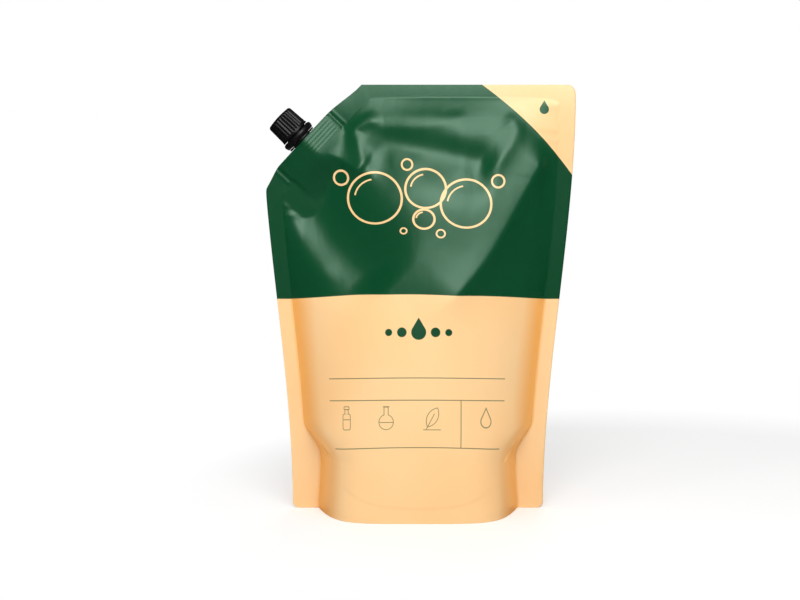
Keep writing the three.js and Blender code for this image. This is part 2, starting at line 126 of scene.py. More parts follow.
# How the panel rises from its edges
FOOT_TURN_POWER = 1.1
GUSSET_SEAL_POWER = 3.2
FOLD_FADE = 12
FOLD_FADE_AT_CUT = (-2, 8)
LEAST_RISE = 0.05
FLATTEST_ANGLE = 1e-4
HALVINGS = 40
CUT_SAMPLES = 400
TINY = 1e-3

band_turn = next(joint for joint in frame["joints"] if joint["name"] == "band_turn")
spout_origin = np.array(band_turn["pos_m"]) / MM
pour_axis = np.array(band_turn["axis"])
along_cut = np.array([pour_axis[2], 0.0, -pour_axis[0]])
cut_angle = math.atan2(along_cut[2], along_cut[0])


def smoothstep(value, low, high):
    share = np.clip((value - low) / (high - low), 0, 1)
    return share * share * (3 - 2 * share)


# The outline of the standing pouch

body_top = HEIGHT - TOP_SEAL
body_arc = FLAT_WIDTH - 2 * SIDE_SEAL


def bulge(z):
    """How far the middle of a panel stands out at each height."""
    return HALF_DEPTH * np.maximum(0, 1 - (z / body_top) ** 2)


def arc_radius(half, rise):
    """Radius of the arc with this half chord and rise."""
    return (half**2 + rise**2) / (2 * rise)


def half_chord(rise):
    """Half the chord of the circular arc of the panel's length that stands out by a rise."""
    target = np.maximum(rise, LEAST_RISE) / body_arc
    low = np.full_like(target, FLATTEST_ANGLE)
    high = np.full_like(target, math.pi / 2)
    for _ in range(HALVINGS):
        middle = (low + high) / 2
        below = (1 - np.cos(middle)) / (2 * middle) < target
        low = np.where(below, middle, low)
        high = np.where(below, high, middle)
    return body_arc / (2 * low) * np.sin(low)


def side_edge(z):
    plain = half_chord(bulge(z)) + SIDE_SEAL

    def corner(radius, past):
        return np.where(past > 0, radius - np.sqrt(np.maximum(0, radius**2 - past**2)), 0)

    over_top = corner(TOP_CORNER_RADIUS, z - (HEIGHT - TOP_CORNER_RADIUS))
    return plain - over_top - corner(FOOT_CORNER_RADIUS, FOOT_CORNER_RADIUS - z)


cut_foot = HEIGHT - CUT_DROP
cut_top_point = np.array([-CUT_FROM_CENTRE, HEIGHT])
cut_foot_point = np.array([-side_edge(np.array([cut_foot]))[0], cut_foot])


def cut_edge(z):
    """The cut edge at each height, straight along the boat, and carried on straight below its end."""
    shares = np.linspace(0, 1, CUT_SAMPLES)[:, None]
    length = math.dist(cut_top_point, cut_foot_point)
    boat_share = (BOAT_LENGTH / 2 + FILM_OVER_BOAT) / length
    upper = smoothstep(shares, 0, SPOUT_ALONG_CUT - boat_share)
    lower = 1 - smoothstep(shares, SPOUT_ALONG_CUT + boat_share, 1)
    outwards = np.array([-math.sin(cut_angle), math.cos(cut_angle)])
    line = cut_top_point + (cut_foot_point - cut_top_point) * shares + outwards * CUT_BOW * upper * lower
    bowed = np.interp(z, line[::-1, 1], line[::-1, 0])
    return np.where(z <= cut_foot, cut_foot_point[0] + (z - cut_foot) / math.tan(cut_angle), bowed)


def left_edge(z):
    """The left side, cut away smoothly by the cut of the corner."""
    side = -side_edge(z)
    cut = cut_edge(z)
    return (side + cut + np.hypot(side - cut, CUT_ROUNDING)) / 2


def seal_width(z):
    ear = EAR_WIDTH + (EAR_SHOULDER - EAR_WIDTH) * smoothstep(z, 0, EAR_SHOULDER_HEIGHT)
    return SIDE_SEAL + (ear - SIDE_SEAL) * (1 - smoothstep(z, EAR_SHOULDER_HEIGHT, EAR_HEIGHT))


def inner_edge(z):
    return half_chord(bulge(z)) + SIDE_SEAL - seal_width(z)


def in_spout_frame(x, z):
    """Distances from the spout's origin, along the cut and out along the pour axis."""
    dx = x - spout_origin[0]
    dz = z - spout_origin[2]
    return dx * along_cut[0] + dz * along_cut[2], dx * pour_axis[0] + dz * pour_axis[2]


# Folds and dents, as ridges along smooth curves in the seal plane

LINE_STEPS = 60
LAST_POINT_MARGIN = 1e-6
FOLD_END = -0.02


def smooth_line(points):
    """Points along a Catmull-Rom curve through the given ones."""
    known = np.array(points, float)
    padded = np.vstack([2 * known[0] - known[1], known, 2 * known[-1] - known[-2]])
    line = []
    for along in np.linspace(0, len(known) - 1 - LAST_POINT_MARGIN, LINE_STEPS):
        part = int(along)
        t = along - part
        a, b, c, d = padded[part:part + 4]
        line.append(0.5 * (2 * b + (c - a) * t + (2 * a - 5 * b + 4 * c - d) * t**2
                           + (3 * b - a - 3 * c + d) * t**3))
    return np.array(line)


class Fold:
    """A ridge, or a dent where its rise is negative, with its own width on either side of its line."""

    def __init__(self, points, rise, left, right=None, sharp=2.0, ends=0.2):
        self.line = smooth_line(points)
        self.rise = rise
        self.left = left
        self.right = right or left
        self.sharp = sharp
        self.ends = ends

    def height(self, x, z):
        best = np.full(x.shape, np.inf)
        side = np.zeros(x.shape)
        share = np.zeros(x.shape)
        count = len(self.line) - 1
        for i in range(count):
            ax, az = self.line[i]
            bx, bz = self.line[i + 1]
            length = (bx - ax) ** 2 + (bz - az) ** 2
            t = np.clip(((x - ax) * (bx - ax) + (z - az) * (bz - az)) / length, 0, 1)
            dx = x - ax - t * (bx - ax)
            dz = z - az - t * (bz - az)
            distance = dx * dx + dz * dz
            nearer = distance < best
            best = np.where(nearer, distance, best)
            side = np.where(nearer, (bx - ax) * dz - (bz - az) * dx, side)
            share = np.where(nearer, (i + t) / count, share)
        width = np.where(side > 0, self.left, self.right)
        across = np.exp(-(np.sqrt(best) / width) ** self.sharp)
        ends = max(self.ends, TINY)
        taper = smoothstep(share, FOLD_END, ends) * smoothstep(1 - share, FOLD_END, ends)
        return self.rise * across * taper


# Each fold's points in x and z, its rise, widths to the left and right, sharpness and fading ends
FRONT_FOLDS = [
    Fold([(5, 193), (22, 189)], 2.6, 32, 32, 2.0, 0.0),
    Fold([(-34, 208.5), (-12, 208.5), (10, 206), (30, 202), (46, 198)], -4.6, 11, 17),
    Fold([(20, 233), (23, 221), (25, 206), (23, 188)], 0.8, 6, 7),
    Fold([(-34, 222), (-14, 223.5), (5, 224), (20, 226)], 0.7, 7, 5),
    Fold([(-20, 226), (-30, 225), (-36.5, 221), (-35.5, 214), (-33, 207), (-30, 199), (-30, 192)],
         1.5, 4, 5.5, 1.8, 0.12),
    Fold([(-36, 221), (-26, 214.5), (-16, 208), (-6, 203), (5, 197)], 0.9, 6, 7),
    Fold([(-60, 210.5), (-50.9, 206.4), (-42.7, 202.8), (-31.9, 196)], 3.2, 7, 5, 1.4, 0.1),
    Fold([(-75, 203), (-59, 180), (-47, 161), (-33, 144.5), (-18, 129)], -7.8, 24, 18),
    Fold([(-80, 178), (-72, 163), (-62, 148), (-49, 131)], 1.8, 9, 10),
    Fold([(77, 209), (69.6, 201), (63.2, 190), (56, 177), (48, 163), (41.5, 152.5), (32.8, 141), (20, 127),
          (2, 112)], 5.5, 10, 17, 1.3, 0.15),
    Fold([(49.4, 229.7), (53.8, 225.3), (55.8, 220.3), (53.8, 214), (49.4, 207.5), (42.4, 199.4),
          (32.8, 191.8)], 1.4, 5, 7, 1.6),
    Fold([(-75, 124), (-71, 115), (-70, 106)], -1.3, 4, 5),
    Fold([(73, 109), (71, 100), (70.5, 92)], -1.2, 5, 4),
]
BACK_FOLDS = [
    Fold([(-36, 221), (-12, 217), (18, 216), (40, 214)], -2.6, 7, 12),
    Fold([(-58, 209), (-46, 204), (-34, 196)], 2.6, 6, 5, 1.5),
    Fold([(-70, 188), (-58, 172), (-44, 152), (-24, 136)], -3.6, 20, 9),
    Fold([(-76, 182), (-62, 160), (-44, 138)], 1.5, 6, 7),
    Fold([(78, 206), (66, 194), (58, 176), (44, 154), (24, 130)], 3.4, 10, 14, 1.3),
]


def boat_sizes(margin):
    """The radius, reach and slope of the boat with a margin round it, and where slope meets round."""
    radius = BOAT_HALF + margin
    reach = BOAT_LENGTH / 2 + margin
    tip = BOAT_TIP + margin
    slope = math.asin(radius / math.hypot(reach, tip)) - math.atan2(tip, reach)
    return radius, reach, slope, radius * math.sin(slope)


def boat_half(distance, margin):
    """Half the boat's width at distances along it: round over the bore, then sloping to the tip."""
    radius, _, slope, crown = boat_sizes(margin)
    top = np.sqrt(np.maximum(0, radius**2 - distance**2))
    side = (radius - distance * math.sin(slope)) / math.cos(slope)
    return np.where(distance < crown, top, side)


def boat_film(along, out):
    """How far the film stands out over the boat, with the marks that the welding bar leaves on it."""
    _, reach, _, _ = boat_sizes(FILM_OVER_BOAT)
    distance = np.abs(along)
    ended = smoothstep(reach + BOAT_ROUNDING - distance, 0, BOAT_ROUNDING)
    body = boat_half(distance, FILM_OVER_BOAT) * ended
    behind = np.maximum(0, -out - BOAT_DEPTH)
    sinking = np.where(behind < BOAT_FADE, 0.5 + 0.5 * np.cos(math.pi * behind / BOAT_FADE), 0)
    pitch = BOAT_DEPTH / WELD_RIBS
    welded = smoothstep(-out, *WELD_RIB_START)
    welded = welded * smoothstep(BOAT_DEPTH + WELD_RIB_PAST_FOOT + out, 0, WELD_RIB_END)
    ribs = WELD_RIB_HEIGHT * np.cos(2 * math.pi * (-out) / pitch) * welded
    ribs = ribs * smoothstep(reach - distance, 0, WELD_RIB_SIDE)
    return body * sinking + ribs


def end_lines(along, out):
    """Thin raised lines that the welding bar leaves past each end of the boat."""
    past = np.abs(along) - BOAT_LENGTH / 2 - FILM_OVER_BOAT
    lines = sum(rise * np.exp(-((past - middle) / END_LINE_WIDTH) ** 2) for middle, rise in END_LINES)
    return lines * smoothstep(-out, *END_LINE_START) * smoothstep(END_LINE_LENGTH + out, 0, END_LINE_RUNOUT)


gusset_end = inner_edge(np.array([float(GUSSET_HEIGHT)]))[0]


def gusset_seal(x):
    """Height of the seal between a panel and the gusset."""
    return GUSSET_SEAL + (GUSSET_HEIGHT - GUSSET_SEAL) * np.abs(x / gusset_end) ** GUSSET_SEAL_POWER


def puckers(x, z, inside):
    """Short uneven wrinkles that run inwards from the side seals."""
    phase = 2 * math.pi * z / PUCKER_PITCH
    bend = PUCKER_BEND * np.sin(phase * PUCKER_BEAT + np.sign(x))
    wave = np.sin(phase + bend + PUCKER_SLANT * np.abs(x))
    patches = 0.5 + 0.5 * np.sin(z / PUCKER_PATCH + PUCKER_PATCH_SHIFT * np.sign(x))
    near = smoothstep(inside, 0, PUCKER_START) * np.exp(-np.maximum(0, inside) / PUCKER_REACH)
    return PUCKER_HEIGHT * wave * patches * near * smoothstep(z, *PUCKER_HEIGHTS)


def film_surface(x, z, folds):
    """The film's distance from the seal plane, at matching arrays of x and z."""
    half = inner_edge(z)
    inside = half - np.abs(x)
    along, out = in_spout_frame(x, z)
    rise = np.maximum(bulge(z), TINY)
    radius = arc_radius(half, rise)
    arc = np.sqrt(np.maximum(0, radius**2 - x**2)) - (radius - rise)
    foot = rise * (1 - np.exp(-(np.maximum(0, inside) / FOOT_TURN) ** FOOT_TURN_POWER))
    lifted = smoothstep(z, 0, FOOT_HEIGHT)
    from_cut = -out - CORNER_SEAL
    corner = 1 - np.exp(-np.maximum(0, from_cut) / CUT_SOFTNESS)
    edges = smoothstep(inside, 0, FOLD_FADE) * smoothstep(body_top - z, 0, FOLD_FADE)
    edges = edges * smoothstep(from_cut, *FOLD_FADE_AT_CUT)
    body = (arc * lifted + foot * (1 - lifted)) * corner
    nearest = np.minimum(np.minimum(inside, body_top - z), from_cut)
    body = body + SEAL_STEP * (1 - np.exp(-np.maximum(0, nearest) / SEAL_STEP_WIDTH))
    below_seal = 1 - smoothstep(z - gusset_seal(x), 0, GUSSET_STEP_WIDTH)
    body = body - GUSSET_STEP * below_seal * smoothstep(inside, *GUSSET_STEP_SIDES)
    body = body + puckers(x, z, inside)
    wrinkles = sum(fold.height(x, z) for fold in folds)
    body = np.where((inside > 0) & (z < body_top), body + wrinkles * edges, 0)
    blended = np.cbrt(np.maximum(0, body) ** 3 + np.maximum(0, boat_film(along, out)) ** 3)
    return np.maximum(SEAL_HALF, blended) + end_lines(along, out)


# The film's mesh: rows up the pouch and columns across it

LEFT_STRIP = 32
RIGHT_STRIP = 8
PANEL_COLUMNS = 116
FOOT_ROWS = [0, 0.3, 0.8, 1.6, 2.6, FOOT_CORNER_RADIUS]
ROW_BANDS = [(4.5, 34, 0.9), (34.5, 120, 1.6), (120, 186, 1.1), (186, HEIGHT - TOP_CORNER_RADIUS, 0.58)]
TOP_ROWS = 9
EVEN_SHARE = 0.35
SHIFT_TO_LEFT = 0.06


def film_rows():
    bands = [np.arange(*band) for band in ROW_BANDS]
    top = HEIGHT - TOP_CORNER_RADIUS * (1 - np.sin(np.linspace(0, math.pi / 2, TOP_ROWS)))
    return np.concatenate([FOOT_ROWS, *bands, top])


def film_grid():
    """Arrays of x and z, with a row for each height."""
    z = film_rows()
    left = left_edge(z)
    right = side_edge(z)
    left_inner = np.maximum(-inner_edge(z), cut_edge(z) + CORNER_SEAL / math.sin(cut_angle))
    right_inner = inner_edge(z)
    strip = np.linspace(0, 1, LEFT_STRIP + 1)[:-1]
    angle = np.linspace(0, 1, PANEL_COLUMNS + 1)
    panel = EVEN_SHARE * angle + (1 - EVEN_SHARE) * (0.5 - 0.5 * np.cos(math.pi * angle))
    panel = panel - SHIFT_TO_LEFT * np.sin(math.pi * angle)
    edge = np.linspace(0, 1, RIGHT_STRIP + 1)[1:]
    x = np.concatenate([
        left[:, None] + (left_inner - left)[:, None] * strip,
        left_inner[:, None] + (right_inner - left_inner)[:, None] * panel,
        right_inner[:, None] + (right - right_inner)[:, None] * edge,
    ], axis=1)
    return x, np.repeat(z[:, None], x.shape[1], axis=1)


PRINT_RISE = 6.0
PRINT_RISE_TOP = 200.0
PRINT_RISE_FOOT = 130.0


def print_place(x, z):
    """The place of a point on the flat printed film, and how far inside the seals it lies."""
    half = inner_edge(z)
    rise = np.maximum(bulge(z), LEAST_RISE)
    radius = arc_radius(half, rise)
    on_panel = np.minimum(np.abs(x), half)
    unrolled = np.sign(x) * (radius * np.arcsin(on_panel / radius) + np.maximum(0, np.abs(x) - half))
    fade = 1 - smoothstep(z, PRINT_RISE_FOOT, PRINT_RISE_TOP)
    raised = PRINT_RISE * fade * np.maximum(0, 1 - (x / half) ** 2)
    _, out = in_spout_frame(x, z)
    inside = np.minimum(np.minimum(half - np.abs(x), body_top - z), -out - CORNER_SEAL)
    return unrolled, z - raised, inside


class Sheet:
    """Collects grids of points and the faces between them."""

    def __init__(self):
        self.points = []
        self.places = []
        self.fronts = []
        self.faces = []
        self.marks = []

    def add(self, x, y, z, front=0.0):
        start = len(self.points)
        shape = np.broadcast(x, y, z).shape
        x, y, z = [np.broadcast_to(a, shape).ravel() for a in (x, y, z)]
        self.points += list(zip(x, y + lean(x, z), z))
        self.places += list(zip(*print_place(x, z)))
        self.fronts += [front] * x.size
        return np.arange(start, start + x.size).reshape(shape)

    def quads(self, grid, mark):
        for i in range(grid.shape[0] - 1):
            for j in range(grid.shape[1] - 1):
                self.faces.append((grid[i, j], grid[i, j + 1], grid[i + 1, j + 1], grid[i + 1, j]))
                self.marks.append(mark)


def lean(x, z):
    """How far the whole sealed top leans back from the seal plane, less and less towards the boat."""
    along, out = in_spout_frame(x, z)
    past_ends = np.maximum(0, np.abs(along) - BOAT_LENGTH / 2 - FILM_OVER_BOAT) / BOAT_DEPTH
    past_foot = np.maximum(0, -out - 2 * BOAT_DEPTH) / BOAT_DEPTH
    near_boat = np.exp(-past_ends**2 - past_foot**2)
    return TOP_LEAN * np.maximum(0, 1 - (HEIGHT - z) / LEAN_HEIGHT) ** 2 * (1 - near_boat)


GUSSET_ROWS = 18
SKIRT_ROWS = 6
POCKET = 3.0
POCKET_MARGIN = 0.5
POCKET_EASE = 2
POCKET_NARROWING = 0.999
FLOOR_EASE = 0.3
FRONT_MARK, BACK_MARK, EDGE_MARK, POCKET_MARK, GUSSET_MARK = range(5)


def build_film():
    sheet = Sheet()
    x, z = film_grid()
    front = film_surface(x, z, FRONT_FOLDS)
    back = film_surface(x, z, BACK_FOLDS)
    front_ids = sheet.add(x, -front, z, 1.0)
    back_ids = sheet.add(x, back, z)
    sheet.quads(front_ids, FRONT_MARK)
    sheet.quads(back_ids, BACK_MARK)
    sheet.quads(np.stack([front_ids[:, -1], back_ids[:, -1]], axis=1), EDGE_MARK)
    sheet.quads(np.stack([front_ids[-1], back_ids[-1]], axis=1), EDGE_MARK)

    # The cut edge: thin lips round the pocket that holds the boat
    along, _ = in_spout_frame(x[:, 0], z[:, 0])
    mouth = smoothstep(BOAT_LENGTH / 2 + POCKET_MARGIN - np.abs(along), 0, POCKET_EASE)

    def lip(depth):
        return depth * depth / (depth + FILM_WALL)

    deep_x = x[:, 0] - pour_axis[0] * POCKET * mouth
    deep_z = z[:, 0] - pour_axis[2] * POCKET * mouth
    lip_front = sheet.add(x[:, 0], -lip(front[:, 0]), z[:, 0])
    deep_front = sheet.add(deep_x, -lip(front[:, 0]) * POCKET_NARROWING, deep_z)
    deep_back = sheet.add(deep_x, lip(back[:, 0]) * POCKET_NARROWING, deep_z)
    lip_back = sheet.add(x[:, 0], lip(back[:, 0]), z[:, 0])
    edge = [front_ids[:, 0], lip_front, deep_front, deep_back, lip_back, back_ids[:, 0]]
    sheet.quads(np.stack(edge[:2], axis=1), EDGE_MARK)
    sheet.quads(np.stack(edge[1:5], axis=1), POCKET_MARK)
    sheet.quads(np.stack(edge[4:], axis=1), EDGE_MARK)

    # The gusset: up the inside of the skirt, across under the pouch and down again
    first = LEFT_STRIP
    last = LEFT_STRIP + PANEL_COLUMNS
    share = x[0, first:last + 1] / inner_edge(np.zeros(1))[0]
    seal = gusset_seal(share * gusset_end)
    ends = np.isclose(np.abs(share), 1)

    def skirt(height_share, folds):
        level = seal * height_share
        wide = share * inner_edge(level)
        depth = lip(film_surface(wide, level, folds))
        return wide, np.where(ends, 0, depth), level

    def column(rows):
        return [sheet.add(*row) for row in rows]

    front_skirt = [skirt(k / SKIRT_ROWS, FRONT_FOLDS) for k in range(SKIRT_ROWS + 1)]
    back_skirt = [skirt(k / SKIRT_ROWS, BACK_FOLDS) for k in range(SKIRT_ROWS + 1)]
    rows = [(wide, -depth, level) for wide, depth, level in front_skirt]
    wide, front_depth, top = front_skirt[-1]
    back_depth = back_skirt[-1][1]
    sag = GUSSET_SAG * (1 - share**2)
    for k in range(1, GUSSET_ROWS):
        v = 2 * k / GUSSET_ROWS - 1
        y = np.where(v < 0, v * front_depth, v * back_depth)
        height = top - sag * (1 - v * v)
        rows.append((wide, y, 0.5 * (height + np.sqrt(height**2 + FLOOR_EASE))))
    rows += [(wide, depth, level) for wide, depth, level in reversed(back_skirt)]
    strip = [front_ids[0, first:last + 1]] + column(rows) + [back_ids[0, first:last + 1]]
    sheet.quads(np.stack(strip, axis=1), GUSSET_MARK)
    for columns in (range(0, first + 1), range(last, x.shape[1])):
        ids = list(columns)
        middle = sheet.add(x[0, ids], np.zeros(len(ids)), z[0, ids])
        sheet.quads(np.stack([front_ids[0, ids], middle, back_ids[0, ids]], axis=1), EDGE_MARK)
    return sheet


def make_object(name, points, faces, scale=MM):
    mesh = bpy.data.meshes.new(name)
    mesh.from_pydata([tuple(float(c) * scale for c in p) for p in points], [], faces)
    made = bpy.data.objects.new(name, mesh)
    bpy.context.scene.collection.objects.link(made)
    return made


FILM_WELD = 1e-6
CLOSURE_WELD = 1e-7


def weld(made, distance):
    """Merges vertices that lie together, closes what is left open and turns the faces outwards."""
    work = bmesh.new()
    work.from_mesh(made.data)
    bmesh.ops.remove_doubles(work, verts=work.verts, dist=distance)
    bmesh.ops.dissolve_degenerate(work, edges=work.edges, dist=distance / 2)
    open_edges = [edge for edge in work.edges if edge.is_boundary]
    bmesh.ops.holes_fill(work, edges=open_edges)
    bmesh.ops.recalc_face_normals(work, faces=work.faces)
    for face in work.faces:
        face.smooth = True
    work.to_mesh(made.data)
    work.free()


# Materials

def srgb(red, green, blue):
    """A linear colour from its usual values of 0 to 255."""
    def linear(value):
        value /= 255
        return value / 12.92 if value <= 0.04045 else ((value + 0.055) / 1.055) ** 2.4
    return linear(red), linear(green), linear(blue), 1.0


PRINT_SOFTNESS = 0.08


class Field:
    """A number that varies over a surface, worked out by shader nodes."""

    def __init__(self, tree, socket):
        self.tree = tree
        self.socket = socket

    def join(self, operation, *others):
        node = self.tree.nodes.new("ShaderNodeMath")
        node.operation = operation
        for socket, value in zip(node.inputs, (self, *others)):
            if isinstance(value, Field):
                self.tree.links.new(value.socket, socket)
            else:
                socket.default_value = value
        return Field(self.tree, node.outputs[0])

    def __add__(self, other):
        return self.join("ADD", other)

    def __sub__(self, other):
        return self.join("SUBTRACT", other)

    def __mul__(self, other):
        return self.join("MULTIPLY", other)

    def __abs__(self):
        return self.join("ABSOLUTE")

    def __neg__(self):
        return self.join("MULTIPLY", -1)

    def least(self, other):
        return self.join("MINIMUM", other)

    def most(self, other):
        return self.join("MAXIMUM", other)

    def ramp(self, low, high):
        """0 below low, 1 above high, and even between them."""
        node = self.tree.nodes.new("ShaderNodeMapRange")
        node.inputs["From Min"].default_value = low
        node.inputs["From Max"].default_value = high
        self.tree.links.new(self.socket, node.inputs["Value"])
        return Field(self.tree, node.outputs["Result"])

    def filled(self):
        """1 inside a shape and 0 outside it."""
        return self.ramp(PRINT_SOFTNESS, -PRINT_SOFTNESS)


def new_material(name, roughness):
    made = bpy.data.materials.new(name)
    made.use_nodes = True
    shader = made.node_tree.nodes["Principled BSDF"]
    shader.inputs["Roughness"].default_value = roughness
    return made, made.node_tree, shader


def coordinates(tree, attribute=None):
    """The surface's own coordinates in millimetres, or a named attribute, as a vector and three fields."""
    if attribute:
        source = tree.nodes.new("ShaderNodeAttribute")
        source.attribute_name = attribute
        vector = source.outputs["Vector"]
    else:
        source = tree.nodes.new("ShaderNodeTexCoord")
        scaled = tree.nodes.new("ShaderNodeVectorMath")
        scaled.operation = "SCALE"
        scaled.inputs["Scale"].default_value = 1 / MM
        tree.links.new(source.outputs["Object"], scaled.inputs[0])
        vector = scaled.outputs[0]
    axes = tree.nodes.new("ShaderNodeSeparateXYZ")
    tree.links.new(vector, axes.inputs[0])
    return vector, [Field(tree, axes.outputs[axis]) for axis in "XYZ"]


def noise(tree, vector, size, detail=2.0, stretch=(1, 1, 1)):
    """Even noise between 0 and 1, with a grain of a size in millimetres."""
    placed = tree.nodes.new("ShaderNodeMapping")
    placed.inputs["Scale"].default_value = stretch
    tree.links.new(vector, placed.inputs["Vector"])
    node = tree.nodes.new("ShaderNodeTexNoise")
    node.inputs["Scale"].default_value = 1 / size
    node.inputs["Detail"].default_value = detail
    tree.links.new(placed.outputs[0], node.inputs["Vector"])
    return Field(tree, node.outputs["Fac"])


def mixed(tree, share, first, second):
    """A colour socket between two colours, which are sockets or plain values."""
    node = tree.nodes.new("ShaderNodeMix")
    node.data_type = "RGBA"
    tree.links.new(share.socket, node.inputs["Factor"])
    for key, colour in (("A", first), ("B", second)):
        if isinstance(colour, tuple):
            node.inputs[key].default_value = colour
        else:
            tree.links.new(colour, node.inputs[key])
    return node.outputs["Result"]


def bump(tree, shader, height):
    """Raises the surface by a field of millimetres."""
    node = tree.nodes.new("ShaderNodeBump")
    node.inputs["Distance"].default_value = MM
    tree.links.new(height.socket, node.inputs["Height"])
    tree.links.new(node.outputs["Normal"], shader.inputs["Normal"])


# Flat shapes as distances: negative inside, positive outside

def disc(u, v, centre, radius):
    across = u - centre[0]
    up = v - centre[1]
    return (across * across + up * up).join("SQRT") - radius


def block(u, v, centre, half_width, half_height, rounding=0.0):
    across = abs(u - centre[0]) - (half_width - rounding)
    up = abs(v - centre[1]) - (half_height - rounding)
    past_side = across.most(0)
    past_top = up.most(0)
    outside = (past_side * past_side + past_top * past_top).join("SQRT")
    return outside + across.most(up).least(0) - rounding


def drop(u, v, centre, radius, height):
    """A disc with a pointed tip above it."""
    slope = math.asin(radius / height)
    across = abs(u - centre[0])
    up = v - centre[1]
    sides = across * math.cos(slope) + up * math.sin(slope) - radius
    above = -up + radius * math.sin(slope)
    return sides.most(disc(u, v, centre, radius).least(above))


def turned(u, v, centre, degrees):
    """Coordinates about a centre, turned against the clock."""
    angle = math.radians(degrees)
    across = u - centre[0]
    up = v - centre[1]
    return (across * math.cos(angle) + up * math.sin(angle), up * math.cos(angle) - across * math.sin(angle))


def line_of(shape, width):
    return abs(shape) - width / 2


# What is printed on the film

GREEN = srgb(0, 72, 39)
INK = srgb(38, 78, 50)
CREAM = srgb(252, 208, 152)
# The deeper cream is painted shade in the valleys by the seals, and also random warmth in the cream
SHADE_AND_WARMTH_CREAM = srgb(252, 178, 92)
FIELD_EDGE = 123.0
PATCH_ARC = ((38.0, 244.9), (63.0, 224.0), (90.7, 193.6))
PATCH_DROP = ((72.0, 232.0), 2.7, 5.2)
BUBBLES = [
    ((-25, 181), 15.5), ((4, 187), 11.5), ((27, 178), 14.5), ((3, 168.5), 6.0), ((-44.5, 193), 4.2),
    ((-6.5, 201), 3.0), ((45.5, 191.5), 3.6), ((12.5, 159.5), 2.4), ((-8.5, 161), 1.8),
]
BUBBLE_LINE = 1.3
FULL_LINE_RADIUS = 8
LEAST_LINE = 0.45
GLINT_FROM_RADIUS = 5
GLINT_RADIUS = 0.74
GLINT_LINE = 0.7
GLINT_PLACE = 0.6
GLINT_SPREAD = 0.5
HEADING = [(-17, 2.0), (-9.5, 2.7), (9.5, 2.7), (17, 2.0)]
HEADING_HEIGHT = 102.0
HEADING_DROP = (4.2, 8.2)
RULES = [(76.6, 54), (64.2, 54), (37.6, 52)]
RULE_WIDTH = 0.5
RULE_MIDDLE = -1.0
DIVIDER = 24.3
BOTTLE_MARK = (-43.0, 54.0)
FLASK_MARK = (-18.5, 54.0)
LEAF_MARK = (7.5, 54.0)
DROP_MARK = (40.0, 52.5)
DROP_MARK_SIZE = (3.4, 7.4)
DROP_MARK_LINE = 0.6
MARK_LINE = 0.42


def circle_through(a, b, c):
    """Centre and radius of the circle through three points."""
    (ax, ay), (bx, by), (cx, cy) = a, b, c
    double = 2 * (ax * (by - cy) + bx * (cy - ay) + cx * (ay - by))
    squares = [px * px + py * py for px, py in (a, b, c)]
    x = (squares[0] * (by - cy) + squares[1] * (cy - ay) + squares[2] * (ay - by)) / double
    y = (squares[0] * (cx - bx) + squares[1] * (ax - cx) + squares[2] * (bx - ax)) / double
    return (x, y), math.dist((x, y), a)


def bubble(u, v, centre, radius):
    """A ring with a short glint inside its upper left."""
    ring = line_of(disc(u, v, centre, radius), BUBBLE_LINE * min(1, radius / FULL_LINE_RADIUS + LEAST_LINE))
    if radius < GLINT_FROM_RADIUS:
        return ring
    glint = line_of(disc(u, v, centre, radius * GLINT_RADIUS), BUBBLE_LINE * GLINT_LINE)
    aside = radius * GLINT_PLACE
    side = disc(u, v, (centre[0] - aside, centre[1] + aside), radius * GLINT_SPREAD)
    return ring.least(glint.most(side))


# The small outline marks, drawn in millimetres from the middle of each

def bottle_mark(u, v):
    x, y = BOTTLE_MARK
    body = block(u, v, (x, y - 1.6), 2.5, 4.4, 1.1)
    neck = block(u, v, (x, y + 3.9), 1.1, 1.4)
    cap = block(u, v, (x, y + 6.0), 1.7, 0.8, 0.2)
    level = block(u, v, (x, y - 0.4), 2.4, MARK_LINE / 2)
    return line_of(body.least(neck), MARK_LINE).least(line_of(cap, MARK_LINE)).least(level)


def flask_mark(u, v):
    x, y = FLASK_MARK
    round_foot = disc(u, v, (x, y - 2), 4.2)
    neck = block(u, v, (x, y + 3.6), 1.2, 2.8)
    rim = block(u, v, (x, y + 6.6), 1.9, MARK_LINE / 2)
    level = round_foot.most(abs(v - (y - 2.2)) - MARK_LINE / 2)
    return line_of(round_foot.least(neck), MARK_LINE).least(rim).least(level)


def leaf_mark(u, v):
    x, y = LEAF_MARK
    across, up = turned(u, v, (x, y), -28)
    blade = disc(across, up, (-4.6, 0.6), 7.6).most(disc(across, up, (4.6, 0.6), 7.6))
    rib = block(across, up, (0, -2.2), MARK_LINE / 2, 5.2)
    ground = block(u, v, (x, y - 6.4), 5.0, MARK_LINE / 2)
    return line_of(blade, MARK_LINE).least(rib).least(ground)


def front_print(u, v):
    """The light shapes on the green, and the green shapes on the cream."""
    light = None
    for centre, radius in BUBBLES:
        shape = bubble(u, v, centre, radius)
        light = shape if light is None else light.least(shape)
    dark = drop(u, v, *PATCH_DROP)
    dark = dark.least(drop(u, v, (0, HEADING_HEIGHT), *HEADING_DROP))
    for across, radius in HEADING:
        dark = dark.least(disc(u, v, (across, HEADING_HEIGHT), radius))
    drop_mark = line_of(drop(u, v, DROP_MARK, *DROP_MARK_SIZE), DROP_MARK_LINE)
    marks = [bottle_mark(u, v), flask_mark(u, v), leaf_mark(u, v), drop_mark]
    for height, half in RULES:
        marks.append(block(u, v, (RULE_MIDDLE, height), half, RULE_WIDTH / 2))
    foot = RULES[2][0]
    top = RULES[1][0]
    marks.append(block(u, v, (DIVIDER, (foot + top) / 2), RULE_WIDTH / 2, (top - foot) / 2))
    fine = marks[0]
    for mark in marks[1:]:
        fine = fine.least(mark)
    return light, dark, fine


